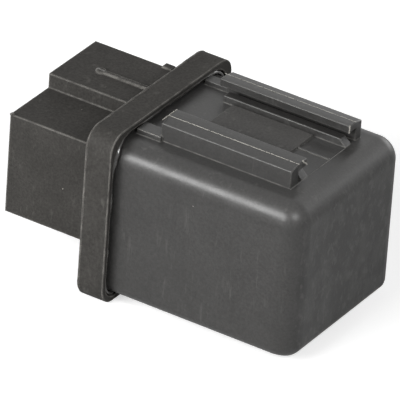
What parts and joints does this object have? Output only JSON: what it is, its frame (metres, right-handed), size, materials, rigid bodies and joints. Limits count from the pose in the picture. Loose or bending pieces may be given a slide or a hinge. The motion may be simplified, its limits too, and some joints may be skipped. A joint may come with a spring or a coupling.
{
  "type": "plug-in relay",
  "caption": "Plug-in relay: black sealed cover with two bracket rails, a collar and a keyed connector shroud with recessed flat blades; a hinged armature switch inside.",
  "frame": {"origin": "middle of the length and width, at the lowest point, which is the underside of the collar", "axes": "+X along the plug axis from the connector towards the closed end, +Z towards the bracket rails"},
  "size_m": [0.05, 0.0312, 0.029],
  "materials": {
    "cover_plastic": "satin black moulded plastic",
    "base_plastic": "matte dark grey-brown moulded plastic",
    "sealing_resin": "glossy black sealing resin",
    "tinned_brass": "tinned blade",
    "strip_copper_alloy": "bright copper alloy strip",
    "contact_silver": "silver contact",
    "plated_steel": "zinc plated soft iron",
    "bobbin_plastic": "natural moulded plastic",
    "enamelled_copper": "enamelled copper wire",
    "winding_tape": "amber film tape",
    "fibre_sheet": "brown fibre sheet",
    "rivet_steel": "bright rivet",
    "resistor_body": "lacquered resistor body",
    "tinned_wire": "tinned wire",
    "spring_bronze": "spring bronze",
    "spring_steel": "spring wire",
    "bare_copper": "bare copper braid"
  },
  "bodies": {
    "housing": {"connector_base": "base_plastic", "cover": "cover_plastic", "seal_bead": "sealing_resin", "terminal_resin": "sealing_resin", "coil_terminal_a": "tinned_brass", "coil_terminal_b": "tinned_brass", "common_terminal": "strip_copper_alloy", "load_terminal": "strip_copper_alloy", "stop_strip": "strip_copper_alloy", "stop_button": "contact_silver", "fixed_contact": "contact_silver", "yoke": "plated_steel", "core": "plated_steel", "bobbin": "bobbin_plastic", "coil_winding": "enamelled_copper", "winding_tape": "winding_tape", "coil_leads": "enamelled_copper", "insulating_sheet": "fibre_sheet", "frame_rivets": "rivet_steel", "suppression_resistor": "resistor_body", "resistor_leads": "tinned_wire", "return_spring": "spring_steel", "copper_braid": "bare_copper"},
    "armature_group": {"armature": "plated_steel", "contact_leaf": "spring_bronze", "leaf_rivets": "rivet_steel", "moving_contact": "contact_silver"}
  },
  "joints": [
    {"name": "armature_hinge", "type": "hinge", "parent": "housing", "child": "armature_group", "pos_m": [0.01805, 0, 0.0068], "axis": [0, -1, 0], "range_deg": [0, 3.2], "stiffness_Nm_per_rad": 0.004, "springref_deg": -11.46, "deforming": ["return_spring", "copper_braid"]}
  ]
}
